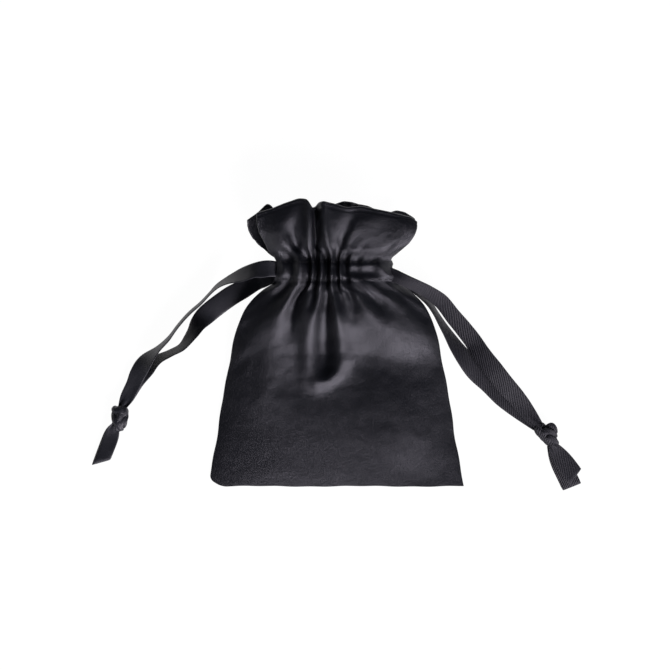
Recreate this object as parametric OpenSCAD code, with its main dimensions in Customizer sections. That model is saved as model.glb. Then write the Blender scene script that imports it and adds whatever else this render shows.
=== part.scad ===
// Drawstring gift pouch of black satin, empty and lying on its back, with its neck half drawn in.
// +X is to the pouch's right, +Y runs from the bottom seam to the mouth, +Z is up from the table.
// The origin is on the table, under the middle of the pouch without its cords.

/* [Pouch] */
// Width of the bottom seam
pouch_w = 80; // [70:1:100]
// Length of the body, from the bottom seam to the lower casing stitch, as it lies
body_l = 63.2; // [55:0.4:80]
// Length of the drawstring casing between its two stitch lines
casing_l = 8.4; // [8:0.2:12]
// Length of the frill above the casing
frill_l = 17.2; // [12:0.4:24]
// Width of the top of the body, just under the casing
shoulder_top_w = 40; // [38:1:44]
// How much wider the shoulders get close to the casing, on each side
shoulder_w = 9.6; // [6:0.2:12]
// Width of the gathered casing
casing_w = 34; // [33:1:36]
// Width of the frill at the mouth
frill_w = 52; // [40:1:60]

/* [Fabric] */
// Thickness of one layer of satin, with its small creases
cloth_t = 0.5; // [0.4:0.1:0.7]
// Thickness of the gathered front or back of the casing
casing_t = 3.6; // [3.4:0.1:4.4]
// Thickness of each pleated wall of the casing
casing_wall = 0.9; // [0.7:0.1:1]
// Height of the way in between the front and the back of the casing
neck_gap = 4.6; // [4.4:0.2:6]
// Width of the seam allowance inside the body
allowance_w = 4; // [3:0.5:6]

/* [Cords] */
// Width of the satin ribbon
ribbon_w = 6; // [5:0.5:7]
// Width of the ribbon where it is crushed together inside the casing
crushed_w = 3.2; // [3:0.1:3.3]
// Thickness of the crushed ribbon
crushed_t = 0.8; // [0.6:0.1:1]
// Thickness of the open ribbon
ribbon_t = 0.4; // [0.3:0.1:0.5]
// Radius of a knot
knot_r = 2.3; // [2:0.1:2.6]

/* [Stitching] */
// Radius of the sewing thread
thread_r = 0.15; // [0.1:0.05:0.2]
// Length of one stitch in the gathered casing
stitch_l = 1; // [0.8:0.1:1.4]
// Distance from one stitch to the next
stitch_pitch = 1.6; // [1.5:0.1:2]

/* [Hidden] */

satin = "#1c1c22";
ribbon = "#18181d";
thread = "#101014";

// Stations along the pouch
pouch_l = body_l + casing_l + frill_l;
seam_y = -pouch_l / 2;
low_y = seam_y + body_l;
up_y = low_y + casing_l;
mouth_y = pouch_l / 2;

// Heights at the neck
neck_h = 2 * casing_t + neck_gap;
front_casing_z = neck_h - casing_t;
channel_h = casing_t - 2 * casing_wall;
front_run_z = front_casing_z + casing_t / 2;
back_run_z = casing_t / 2;

// Where the two cords run in the casing: the left one nearer the mouth, the right one nearer the body
lane_gap = 0.3;
left_lane_y = (low_y + up_y + crushed_w + lane_gap) / 2;
right_lane_y = (low_y + up_y - crushed_w - lane_gap) / 2;
loop_end_x = 20.6;
bight_x = casing_w / 2 + 0.2;
bight_out = 2.2;

// Heights of the lying body
hem_z = 1.4;
seam_z = 0.7;
seam_rise = 5.2;
half_seam_t = 0.2;
flat_share = 0.55;
side_power = 2.5;

// Grid of the body's panels
across = 20;
along = 18;

// Routes of the free strands, each point [x, y, z, roll, width]. Roll is the tilt of the ribbon's
// width about its own line, 0 where it lies flat and 90 where it stands on its edge.
start_x = loop_end_x + 0.6;
left_upper_route = [
    [-start_x, left_lane_y, front_run_z, 0, 0.8], [-23, 24.2, 9.6, 10, 3.6], [-26, 23, 8.4, 30, 5], [-30, 21.5, 6.4, 50, 6],
    [-34, 20, 4.6, 68, 6], [-37, 18.4, 3.6, 76, 6], [-39.5, 16.1, 3.2, 80, 6], [-42.5, 13, 3.1, 80, 6],
    [-46, 10, 3.1, 80, 6], [-49.5, 6, 3.1, 80, 6], [-52.5, 2, 3.1, 78, 6], [-56, -1.5, 3, 70, 6],
    [-59.5, -5, 3.2, 40, 6], [-62, -9, 2, 12, 5], [-63.5, -12.5, 1.6, 4, 4.4], [-65.5, -16.5, 1.9, 0, 4],
    [-67, -19.6, 2.8, 0, 2.4]
];
left_lower_route = [
    [-start_x, left_lane_y, back_run_z, 0, 0.8], [-22.5, 23, 1.8, 0, 3.6], [-25, 19.5, 1.4, 0, 4.6], [-29, 17.5, 0.8, 0, 5.6],
    [-33.5, 15, 0.5, 0, 6], [-39.5, 10.5, 0.5, 0, 6], [-43, 7, 1.8, 30, 6], [-45, 3.5, 2.6, 50, 6],
    [-48, -0.5, 3, 64, 6], [-51.5, -2.5, 3.1, 68, 6], [-55.5, -4.5, 3, 60, 6], [-59, -7, 1.8, 30, 6],
    [-62, -10.5, 0.8, 10, 5], [-63.5, -13, 0.5, 2, 4.4], [-65.5, -16.5, 0.8, 0, 4], [-67, -19.6, 1.8, 0, 2.4]
];
left_upper_tail_route = [
    [-69, -25, 2.8, 0, 2.4], [-70, -27.5, 1.8, 4, 4.2], [-71, -30.5, 1.5, 8, 4.6], [-73.4, -36.4, 1.4, 8, 4.6]
];
left_lower_tail_route = [
    [-69, -25, 1.6, 0, 2.4], [-70.2, -27.5, 0.9, 4, 4.2], [-71.4, -30.5, 0.6, 4, 4.6], [-73.8, -36.8, 0.5, 4, 4.6]
];
right_upper_route = [
    [start_x, right_lane_y, front_run_z, 0, 0.8], [23, 20.8, 9.6, 20, 3.2], [26, 19.4, 8.2, 40, 4.4], [29.5, 16.8, 6.4, 46, 5.6],
    [33, 13.3, 4.8, 42, 6], [36.5, 9, 3.6, 38, 6], [39.5, 5.5, 3, 34, 6], [43, 1, 2.6, 30, 6],
    [46, -3.5, 3.4, 24, 6], [49.5, -8, 4, 20, 6], [53, -12.5, 3.6, 20, 6], [56.5, -16.5, 3, 20, 5.6],
    [60, -21, 2.6, 10, 4.6], [64.2, -26.2, 3, 0, 2.4]
];
right_lower_route = [
    [start_x, right_lane_y, back_run_z, 0, 0.8], [22.6, 20.2, 1.8, -10, 2.8], [25.2, 17.6, 2.2, -40, 4.4], [28.5, 14, 2.8, -66, 5.6],
    [30.8, 10.5, 3.1, -72, 6], [32.8, 7, 3.1, -68, 6], [35, 3.5, 3, -60, 6], [37.5, -0.5, 2.6, -46, 6],
    [40.5, -4.5, 1.9, -30, 6], [44, -8.5, 1, -10, 6], [48, -12, 0.6, 0, 6], [52, -16, 0.6, 0, 6],
    [55.5, -19, 0.7, 0, 5.6], [59.5, -22.5, 1, 0, 4.4], [63.8, -26.5, 1.8, 0, 2.4]
];
right_upper_tail_route = [
    [67.6, -31, 2.8, 0, 2.4], [69.2, -33.6, 2.2, -6, 4.6], [71.6, -36.8, 2, -10, 5.8], [74.9, -41.2, 2, -10, 6]
];
right_lower_tail_route = [
    [67.2, -31.2, 1.6, 0, 2.4], [69, -34, 0.9, 4, 5], [70.9, -38, 0.7, 4, 6], [74, -44.4, 0.6, 4, 6]
];
left_knot_at = [-68, -22.3, knot_r + 0.2];
left_knot_turn = 20;
right_knot_at = [65.8, -28.6, knot_r + 0.2];
right_knot_turn = -40;

// ---- Shapes of the body ----

// Half width of the body at share t from the casing (0) to the bottom seam (1)
function body_half(t) =
    shoulder_top_w / 2 + shoulder_w * (1 - exp(-t / 0.09))
    + (pouch_w / 2 - shoulder_top_w / 2 - shoulder_w) * t;

// Height of the front panel's crown, and of the side seams
function crown_z(t) = hem_z + (neck_h - hem_z) * (0.5 + 0.5 * cos(180 * pow(t, 0.9)));
function side_z(t) = seam_z + seam_rise * pow(1 - t, 3);

// Undersides and tops of the two panels: u runs across from -1 to 1, t from the casing to the seam
function front_inner_z(u, t) =
    let (edge = side_z(t) + half_seam_t)
    edge + (crown_z(t) - cloth_t - edge) * (1 - pow(abs(u), side_power));
function back_outer_z(u, t) =
    (side_z(t) - half_seam_t - cloth_t) * pow(max(0, (abs(u) - flat_share) / (1 - flat_share)), 2);
function body_at(u, t, z) = [u * body_half(t), low_y - t * body_l, z];

// A closed sheet between two grids of points, top and bottom, with rows rows and cols columns
module sheet(top, bottom) {
    rows = len(top);
    cols = len(top[0]);
    count = rows * cols;
    function at(r, c) = r * cols + c;
    function pair(a, b, c, d) = [[a, b, c], [a, c, d]];
    upper = [for (r = [0 : rows - 2], c = [0 : cols - 2])
        each pair(at(r, c), at(r + 1, c), at(r + 1, c + 1), at(r, c + 1))];
    lower = [for (f = upper) [count + f[2], count + f[1], count + f[0]]];
    first_and_last_row = [for (c = [0 : cols - 2]) each concat(
        pair(at(0, c), at(0, c + 1), count + at(0, c + 1), count + at(0, c)),
        pair(at(rows - 1, c + 1), at(rows - 1, c), count + at(rows - 1, c), count + at(rows - 1, c + 1)))];
    first_and_last_column = [for (r = [0 : rows - 2]) each concat(
        pair(at(r + 1, 0), at(r, 0), count + at(r, 0), count + at(r + 1, 0)),
        pair(at(r, cols - 1), at(r + 1, cols - 1), count + at(r + 1, cols - 1), count + at(r, cols - 1)))];
    polyhedron(
        points = concat([for (row = top) each row], [for (row = bottom) each row]),
        faces = concat(upper, lower, first_and_last_row, first_and_last_column));
}

module front_panel() {
    color(satin) sheet(
        [for (i = [0 : along]) [for (j = [0 : across])
            let (u = 2 * j / across - 1, t = i / along) body_at(u, t, front_inner_z(u, t) + cloth_t)]],
        [for (i = [0 : along]) [for (j = [0 : across])
            let (u = 2 * j / across - 1, t = i / along) body_at(u, t, front_inner_z(u, t))]]);
}

module back_panel() {
    color(satin) sheet(
        [for (i = [0 : along]) [for (j = [0 : across])
            let (u = 2 * j / across - 1, t = i / along) body_at(u, t, back_outer_z(u, t) + cloth_t)]],
        [for (i = [0 : along]) [for (j = [0 : across])
            let (u = 2 * j / across - 1, t = i / along) body_at(u, t, back_outer_z(u, t))]]);
}

// The turned-in edges of both panels, sewn together along one side (side is -1 or 1)
module side_allowance(side) {
    gap = 0.02;
    function strip(dz) = [for (i = [0 : along]) let (t = 0.01 + 0.92 * i / along) [
        for (x = [body_half(t) - allowance_w, body_half(t) - 0.1])
            [side > 0 ? x : -(2 * body_half(t) - allowance_w - 0.1 - x), low_y - t * body_l,
             side_z(t) + dz]]];
    color(satin) sheet(strip(half_seam_t - gap), strip(gap - half_seam_t));
}

module left_side_seam() { side_allowance(-1); }
module right_side_seam() { side_allowance(1); }

module bottom_seam() {
    gap = 0.02;
    w = pouch_w - 2;
    color(satin)
        translate([-w / 2, seam_y + 0.1, cloth_t + gap])
            cube([w, allowance_w - 0.3, 2 * half_seam_t - 2 * gap]);
}

// ---- Casing and frill ----

// A rectangle with round corners, about the origin
module round_rect(w, h, r) {
    square([w - 2 * r, h], center = true);
    square([w, h - 2 * r], center = true);
    for (x = [-1, 1], y = [-1, 1])
        translate([x * (w / 2 - r), y * (h / 2 - r)]) circle(r, $fn = 32);
}

// One half of the casing: a gathered tube along X that both cords run through, with its pleats outside
module casing(middle_z, outer_side) {
    pleats = 13;
    pleat_r = 0.8;
    color(satin)
        difference() {
            union() {
                translate([0, (low_y + up_y) / 2, middle_z])
                    rotate([90, 0, 90])
                        linear_extrude(casing_w, center = true) round_rect(casing_l, casing_t - 0.3, 1);
                for (i = [0 : pleats - 1])
                    translate([(i - (pleats - 1) / 2) * casing_w / (pleats + 0.6),
                               (low_y + up_y) / 2, middle_z + outer_side * (casing_t / 2 - pleat_r)])
                        rotate([90, 0, 0])
                            cylinder(h = casing_l - 1.6, r = pleat_r, center = true, $fn = 32);
            }
            translate([0, (low_y + up_y) / 2, middle_z])
                cube([casing_w + 2, casing_l - 1, channel_h], center = true);
        }
}

module front_casing() { casing(front_run_z, 1); }
module back_casing() { casing(back_run_z, -1); }

// Half width of the frill and length of its ruffled edge, at share v from the stitch (0) to the mouth (1)
frill_root_w = 36;
frill_gap = 0.65;
corner_drop = 5.4;
function frill_half(v) = frill_root_w / 2 + (frill_w - frill_root_w) / 2 * sin(90 * pow(v, 0.8));
function frill_at(u, v, z) =
    [u * frill_half(v), up_y + frill_gap + v * (frill_l - frill_gap - corner_drop * u * u), z];
function ruffle(u, v) = 0.7 * v * cos(540 * u);
function front_frill_z(u, v) = front_run_z - 0.35 + 3.4 * v + ruffle(u, v) - 3 * u * u * v;
function back_frill_z(u, v) = back_run_z * (1 - v) + v * (0.7 + ruffle(u, v)) + 2.6 * u * u * v;
frill_t = 0.7;

module frill(z_of) {
    cols = 24;
    rows = 7;
    color(satin) sheet(
        [for (i = [0 : rows]) [for (j = [0 : cols])
            let (u = 1 - 2 * j / cols, v = i / rows) frill_at(u, v, z_of(u, v) + frill_t)]],
        [for (i = [0 : rows]) [for (j = [0 : cols])
            let (u = 1 - 2 * j / cols, v = i / rows) frill_at(u, v, z_of(u, v))]]);
}

module front_frill() { frill(function (u, v) front_frill_z(u, v)); }
module back_frill() { frill(function (u, v) back_frill_z(u, v)); }

// ---- Stitching ----

// A row of separate stitches along X at height z
module stitch_row(y, z) {
    count = floor((casing_w - 2) / stitch_pitch);
    color(thread)
        for (i = [0 : count - 1])
            translate([(i - (count - 1) / 2) * stitch_pitch, y, z])
                rotate([0, 90, 0]) cylinder(h = stitch_l, r = thread_r, center = true, $fn = 16);
}

front_thread_z = neck_h + thread_r + 0.02;
back_thread_z = casing_t - 0.15 + thread_r + 0.02;

module front_upper_stitching() { stitch_row(up_y - 1.2, front_thread_z); }
module front_lower_stitching() { stitch_row(low_y + 1.2, front_thread_z); }
module back_upper_stitching() { stitch_row(up_y - 1.2, back_thread_z); }
module back_lower_stitching() { stitch_row(low_y + 1.2, back_thread_z); }

module bottom_stitching() {
    count = floor((pouch_w - 6) / 2.5);
    color(thread)
        for (i = [0 : count - 1])
            translate([(i - (count - 1) / 2) * 2.5, seam_y + 1.2, cloth_t + 0.2])
                rotate([0, 90, 0]) cylinder(h = 2, r = thread_r, center = true, $fn = 16);
}

module side_stitching(side) {
    count = 24;
    color(thread)
        for (i = [1 : count - 2]) let (t = i / count * 0.95)
            translate([side * (body_half(t) - 1.2), low_y - t * body_l, side_z(t)])
                rotate([90, 0, 0]) cylinder(h = 1.8, r = thread_r, center = true, $fn = 16);
}

module left_side_stitching() { side_stitching(-1); }
module right_side_stitching() { side_stitching(1); }

// ---- Cords ----

// The part of a cord inside the casing: through the front, round the neck in a bight, back through
// the back. side is 1 where the bight is on the right.
module cord_loop(side, lane_y) {
    h = (front_run_z - back_run_z) / 2;
    mid_z = (front_run_z + back_run_z) / 2;
    steps = 16;
    function bend(grow) = [for (k = [0 : steps]) let (a = 90 - 180 * k / steps)
        [bight_x + (bight_out + grow) * cos(a), mid_z + (h + grow) * sin(a)]];
    outer = bend(crushed_t / 2);
    inner = bend(-crushed_t / 2);
    outline = concat(
        [[-loop_end_x, front_run_z + crushed_t / 2]], outer,
        [[-loop_end_x, back_run_z - crushed_t / 2], [-loop_end_x, back_run_z + crushed_t / 2]],
        [for (k = [steps : -1 : 0]) inner[k]], [[-loop_end_x, front_run_z - crushed_t / 2]]);
    color(ribbon)
        mirror([side > 0 ? 0 : 1, 0, 0])
            translate([0, lane_y + crushed_w / 2, 0])
                rotate([90, 0, 0]) linear_extrude(crushed_w) polygon(outline);
}

module left_cord_loop() { cord_loop(1, left_lane_y); }
module right_cord_loop() { cord_loop(-1, right_lane_y); }

function flat_normalised(d) = let (n = sqrt(d.x * d.x + d.y * d.y)) [d.x / n, d.y / n];

// A flat ribbon along a route: each ring is a rectangle across the route, turned by the point's roll
module ribbon_strip(route) {
    last = len(route) - 1;
    function heading(i) = flat_normalised(
        [route[min(i + 1, last)].x - route[max(i - 1, 0)].x,
         route[min(i + 1, last)].y - route[max(i - 1, 0)].y]);
    function ring(i) = let (
            p = route[i], d = heading(i), roll = p[3], half = p[4] / 2, th = ribbon_t / 2,
            across = [-d.y * cos(roll), d.x * cos(roll), sin(roll)],
            up = [d.y * sin(roll), -d.x * sin(roll), cos(roll)])
        [for (s = [[1, 1], [-1, 1], [-1, -1], [1, -1]])
            [p.x, p.y, p.z] + s[0] * half * across + s[1] * th * up];
    points = [for (i = [0 : last]) each ring(i)];
    // both wide faces are split along the same diagonal, so they stay parallel where the ribbon twists
    sides = [for (i = [0 : last - 1], k = [0 : 3]) let (
            a = 4 * i + k, b = 4 * i + (k + 1) % 4, c = b + 4, d = a + 4)
        each (k == 2 ? [[b, c, d], [b, d, a]] : [[a, b, c], [a, c, d]])];
    ends = [[0, 2, 1], [0, 3, 2], [4 * last, 4 * last + 1, 4 * last + 2], [4 * last, 4 * last + 2, 4 * last + 3]];
    color(ribbon) polyhedron(points = points, faces = [for (f = concat(sides, ends)) [f[2], f[1], f[0]]]);
}

module left_upper_strand() { ribbon_strip(left_upper_route); }
module left_lower_strand() { ribbon_strip(left_lower_route); }
module left_upper_tail() { ribbon_strip(left_upper_tail_route); }
module left_lower_tail() { ribbon_strip(left_lower_tail_route); }
module right_upper_strand() { ribbon_strip(right_upper_route); }
module right_lower_strand() { ribbon_strip(right_lower_route); }
module right_upper_tail() { ribbon_strip(right_upper_tail_route); }
module right_lower_tail() { ribbon_strip(right_lower_tail_route); }

// An overhand knot: a ball of crushed ribbon with one turn wrapped round it
module knot(place, turn) {
    color(ribbon)
        translate(place)
            rotate([0, 0, -turn]) {
                sphere(r = knot_r, $fn = 48);
                rotate([60, 0, 0])
                    rotate_extrude($fn = 48)
                        translate([knot_r - 0.7, 0]) circle(r = 0.9, $fn = 24);
            }
}

module left_knot() { knot(left_knot_at, left_knot_turn); }
module right_knot() { knot(right_knot_at, right_knot_turn); }

front_panel();
back_panel();
left_side_seam();
right_side_seam();
bottom_seam();
front_casing();
back_casing();
front_frill();
back_frill();
front_upper_stitching();
front_lower_stitching();
back_upper_stitching();
back_lower_stitching();
bottom_stitching();
left_side_stitching();
right_side_stitching();
left_cord_loop();
left_upper_strand();
left_lower_strand();
left_knot();
left_upper_tail();
left_lower_tail();
right_cord_loop();
right_upper_strand();
right_lower_strand();
right_knot();
right_upper_tail();
right_lower_tail();
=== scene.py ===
"""Looks for the black satin drawstring gift pouch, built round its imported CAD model."""

from math import cos, exp, pi, radians, sin

import bmesh
import bpy
import numpy as np
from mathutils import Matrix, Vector


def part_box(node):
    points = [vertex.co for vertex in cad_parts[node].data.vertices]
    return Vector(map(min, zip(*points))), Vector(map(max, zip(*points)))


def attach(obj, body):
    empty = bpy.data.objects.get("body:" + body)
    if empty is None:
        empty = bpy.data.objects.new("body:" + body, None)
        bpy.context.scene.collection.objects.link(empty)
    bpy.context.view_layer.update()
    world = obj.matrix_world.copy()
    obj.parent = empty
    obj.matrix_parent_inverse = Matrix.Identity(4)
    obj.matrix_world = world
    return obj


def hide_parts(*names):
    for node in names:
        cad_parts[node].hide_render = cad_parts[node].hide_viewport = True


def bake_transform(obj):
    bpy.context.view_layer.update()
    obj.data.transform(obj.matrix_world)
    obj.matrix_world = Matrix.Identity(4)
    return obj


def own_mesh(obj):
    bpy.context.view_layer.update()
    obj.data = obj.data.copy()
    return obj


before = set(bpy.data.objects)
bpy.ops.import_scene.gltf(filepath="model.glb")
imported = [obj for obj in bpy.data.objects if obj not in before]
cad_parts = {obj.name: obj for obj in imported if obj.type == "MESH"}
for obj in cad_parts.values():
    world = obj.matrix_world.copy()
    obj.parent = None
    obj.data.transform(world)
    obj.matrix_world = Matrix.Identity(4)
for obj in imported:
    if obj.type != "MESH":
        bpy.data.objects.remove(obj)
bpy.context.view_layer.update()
MM = 0.001

# ---------------------------------------------------------------- camera and light


CAMERA_HEIGHT = 0.9
VIEW_WIDTH = 0.2094  # width of what the camera sees, in metres, at the height below
VIEW_HEIGHT = 0.004
SENSOR = 36  # millimetres


def make_camera():
    """Straight above the pouch, with the mouth at the top of the picture."""
    data = bpy.data.cameras.new("camera")
    data.sensor_width = SENSOR
    data.lens = SENSOR * (CAMERA_HEIGHT - VIEW_HEIGHT) / VIEW_WIDTH
    data.clip_start = 0.05
    data.clip_end = 10
    camera = bpy.data.objects.new("camera", data)
    bpy.context.scene.collection.objects.link(camera)
    camera.location = (-0.0003, 0.0031, CAMERA_HEIGHT)
    bpy.context.scene.camera = camera


def make_key_light():
    """One large soft light, low on the right of the bottom seam, as the highlights of the photo show."""
    data = bpy.data.lights.new("key", "AREA")
    data.shape = "RECTANGLE"
    data.size = 0.7
    data.size_y = 0.4
    data.energy = 15.0
    data.color = (0.98, 0.95, 1.0)
    lamp = bpy.data.objects.new("key", data)
    bpy.context.scene.collection.objects.link(lamp)
    place = Vector((0.46, -0.74, 0.52))
    lamp.location = place
    lamp.rotation_euler = (-place).to_track_quat("-Z", "Y").to_euler()


def make_world():
    """A dim room: dark overhead and paler near the table."""
    world = bpy.data.worlds.new("world")
    bpy.context.scene.world = world
    world.use_nodes = True
    room = world.node_tree
    back = room.nodes["Background"]
    place = room.nodes.new("ShaderNodeTexCoord")
    parts = room.nodes.new("ShaderNodeSeparateXYZ")
    room.links.new(place.outputs["Generated"], parts.inputs[0])
    ramp = room.nodes.new("ShaderNodeValToRGB")
    room.links.new(parts.outputs[2], ramp.inputs["Fac"])
    low, high = ramp.color_ramp.elements
    low.position = 0.08
    low.color = (0.20, 0.21, 0.23, 1)
    high.position = 0.5
    high.color = (0.036, 0.042, 0.049, 1)
    room.links.new(ramp.outputs["Color"], back.inputs["Color"])
    back.inputs["Strength"].default_value = 1.0


def make_floor():
    """White paper that shows white and takes only a faint shadow."""
    bpy.ops.mesh.primitive_plane_add(size=3)
    floor = bpy.context.object
    floor.name = "floor"
    floor.location = (0, 0, -0.0003)
    paper = Nodes("paper")
    paper.set(Base_Color=(0.07, 0.07, 0.07, 1), Emission_Color=(1, 1, 1, 1), Emission_Strength=0.98)
    paper.set(Roughness=1, Specular_IOR_Level=0)
    floor.data.materials.append(paper.mat)


def make_studio():
    make_camera()
    make_key_light()
    make_world()
    make_floor()
    bpy.context.scene.view_settings.view_transform = "Standard"


# ---------------------------------------------------------------- materials


class Nodes:
    """Small helper that adds and links shader nodes."""

    def __init__(self, name):
        self.mat = bpy.data.materials.new(name)
        self.mat.use_nodes = True
        self.tree = self.mat.node_tree
        self.bsdf = self.tree.nodes["Principled BSDF"]

    def add(self, kind):
        return self.tree.nodes.new(kind)

    def coordinates(self):
        """The UV map, and its two parts."""
        uv = self.add("ShaderNodeUVMap").outputs["UV"]
        parts = self.add("ShaderNodeSeparateXYZ")
        self.link(uv, parts.inputs[0])
        return uv, parts.outputs[0], parts.outputs[1]

    def link(self, a, b):
        self.tree.links.new(a, b)

    def math(self, op, a, b=None, c=None):
        node = self.add("ShaderNodeMath")
        node.operation = op
        for socket, value in zip(node.inputs, (a, b, c)):
            if value is None:
                continue
            if isinstance(value, (int, float)):
                socket.default_value = value
            else:
                self.link(value, socket)
        return node.outputs[0]

    def noise(self, coords, scale, detail=2.0, rough=0.5):
        node = self.add("ShaderNodeTexNoise")
        node.inputs["Scale"].default_value = scale
        node.inputs["Detail"].default_value = detail
        node.inputs["Roughness"].default_value = rough
        self.link(coords, node.inputs["Vector"])
        return node.outputs["Fac"]

    def wave(self, place, per_unit):
        """A sine wave along one coordinate."""
        return self.math("SINE", self.math("MULTIPLY", place, 2 * pi * per_unit))

    def scaled(self, value, scale, start=0.0):
        return self.math("MULTIPLY_ADD", value, scale, start)

    def add_up(self, *values):
        total = values[0]
        for value in values[1:]:
            total = self.math("ADD", total, value)
        return total

    def set(self, **values):
        for key, value in values.items():
            self.bsdf.inputs[key.replace("_", " ")].default_value = value

    def drive(self, **outputs):
        for key, output in outputs.items():
            self.link(output, self.bsdf.inputs[key.replace("_", " ")])

    def follow_uv(self, amount):
        """Stretches the highlights across the yarns."""
        tangent = self.add("ShaderNodeTangent")
        tangent.direction_type = "UV_MAP"
        self.drive(Tangent=tangent.outputs[0])
        self.set(Anisotropic=amount)

    def ramp(self, fac, *stops):
        node = self.add("ShaderNodeValToRGB")
        for i, (at, colour) in enumerate(stops):
            e = node.color_ramp.elements[i] if i < 2 else node.color_ramp.elements.new(at)
            e.position = at
            e.color = (*colour, 1)
        self.link(fac, node.inputs["Fac"])
        return node.outputs["Color"]

    def bump(self, height, distance, strength=1.0, normal=None):
        node = self.add("ShaderNodeBump")
        node.inputs["Distance"].default_value = distance
        node.inputs["Strength"].default_value = strength
        self.link(height, node.inputs["Height"])
        if normal is not None:
            self.link(normal, node.inputs["Normal"])
        return node.outputs["Normal"]


def satin_material():
    """Satin weave: long floats along the length, so a soft streaked gloss, with a fine grain of yarns.
    UV is in centimetres."""
    n = Nodes("black_satin")
    uv, across, along = n.coordinates()
    stretched = n.add("ShaderNodeMapping")
    stretched.inputs["Scale"].default_value = (1.0, 0.45, 1.0)
    n.link(uv, stretched.inputs["Vector"])
    grain = n.noise(stretched.outputs[0], 30, 3, 0.75)
    slub = n.noise(uv, 5.0, 2, 0.5)
    cloud = n.noise(uv, 0.9, 2, 0.5)
    weave = n.add_up(n.scaled(n.wave(across, 62), 0.25), n.scaled(n.wave(along, 48), 0.16))
    fine = n.bump(n.add_up(weave, n.scaled(grain, 2.4)), 0.000034)
    soft = n.bump(n.add_up(slub, n.scaled(cloud, 1.5)), 0.00010, 0.5, fine)
    colour = n.ramp(grain, (0.3, (0.0016, 0.0020, 0.0032)), (0.7, (0.0062, 0.0066, 0.0096)))
    rough = n.scaled(cloud, 0.06, n.scaled(grain, 0.24, 0.27))
    n.drive(Normal=soft, Base_Color=colour, Roughness=rough)
    n.follow_uv(0.35)
    n.set(Specular_IOR_Level=0.6, Specular_Tint=(0.93, 0.90, 1.0, 1))
    return n.mat


def reverse_material():
    """The matt wrong side of the satin, as the seam allowances show it inside the pouch."""
    n = Nodes("satin_reverse")
    uv, _, _ = n.coordinates()
    grain = n.noise(uv, 60, 3, 0.6)
    colour = n.ramp(grain, (0.3, (0.008, 0.008, 0.010)), (0.7, (0.018, 0.018, 0.022)))
    n.drive(Normal=n.bump(grain, 0.00004), Base_Color=colour, Roughness=n.scaled(grain, 0.15, 0.68))
    n.set(Specular_IOR_Level=0.35)
    return n.mat


def ribbon_face_material():
    """The smooth satin face of the ribbon. UV is in centimetres."""
    n = Nodes("ribbon_face")
    uv, _, along = n.coordinates()
    grain = n.noise(uv, 50, 2, 0.6)
    cloud = n.noise(uv, 1.6, 2, 0.5)
    fine = n.bump(n.add_up(n.scaled(n.wave(along, 34), 0.25), n.scaled(grain, 1.2)), 0.000022)
    colour = n.ramp(grain, (0.3, (0.010, 0.011, 0.015)), (0.7, (0.021, 0.022, 0.029)))
    n.drive(Normal=n.bump(cloud, 0.0004, 0.5, fine), Base_Color=colour, Roughness=n.scaled(grain, 0.14, 0.44))
    n.follow_uv(0.3)
    n.set(Specular_IOR_Level=0.5, Specular_Tint=(1.0, 0.95, 1.0, 1))
    return n.mat


def ribbon_reverse_material():
    """The back of the ribbon, with fine slanting ribs. UV is in centimetres."""
    n = Nodes("ribbon_reverse")
    uv, across, along = n.coordinates()
    grain = n.noise(uv, 50, 2, 0.6)
    rib = n.math("SINE", n.add_up(n.scaled(across, 2 * pi * 11), n.scaled(along, 2 * pi * 13)))
    height = n.add_up(rib, n.scaled(n.wave(across, 40), 0.3), n.scaled(grain, 0.8))
    colour = n.ramp(n.scaled(rib, 0.5, 0.5), (0.1, (0.008, 0.008, 0.012)), (0.9, (0.021, 0.021, 0.028)))
    n.drive(Normal=n.bump(height, 0.00005), Base_Color=colour, Roughness=n.scaled(grain, 0.12, 0.52))
    n.set(Specular_IOR_Level=0.45, Specular_Tint=(1.0, 0.95, 1.0, 1))
    return n.mat


def thread_material():
    """Twisted polyester sewing thread. UV is round and along each stitch, the latter in millimetres."""
    n = Nodes("black_thread")
    _, around, along = n.coordinates()
    twist = n.math("SINE", n.add_up(n.scaled(around, 2 * pi), n.scaled(along, 2 * pi * 3)))
    colour = n.ramp(n.scaled(twist, 0.5, 0.5), (0.0, (0.006, 0.006, 0.008)), (1.0, (0.022, 0.021, 0.026)))
    n.drive(Normal=n.bump(twist, 0.00003), Base_Color=colour)
    n.set(Roughness=0.5, Specular_IOR_Level=0.5)
    return n.mat


# ---------------------------------------------------------------- lines and grids of points, in millimetres


def smoothstep(a, b, t):
    s = np.clip((t - a) / (b - a), 0, 1)
    return s * s * (3 - 2 * s)


def unit(vectors):
    return vectors / np.maximum(np.linalg.norm(vectors, axis=-1, keepdims=True), 1e-9)


def distances(line):
    """How far along a line of points each of them is."""
    return np.concatenate([[0], np.cumsum(np.linalg.norm(np.diff(line, axis=0), axis=1))])


def points_at(places, along, line):
    """The points of a line at the given places, where along has the place of each of its own points."""
    return np.stack([np.interp(places, along, column) for column in line.T], 1)


def along_table(at, points):
    """The second column of a table at the given values of its first."""
    first, second = np.array(sorted(points)).T[:2]
    return np.interp(at, first, second)


def piece(obj, node):
    """Hides the CAD node that a visible piece shows, and returns the piece."""
    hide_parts(node)
    return obj


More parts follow.
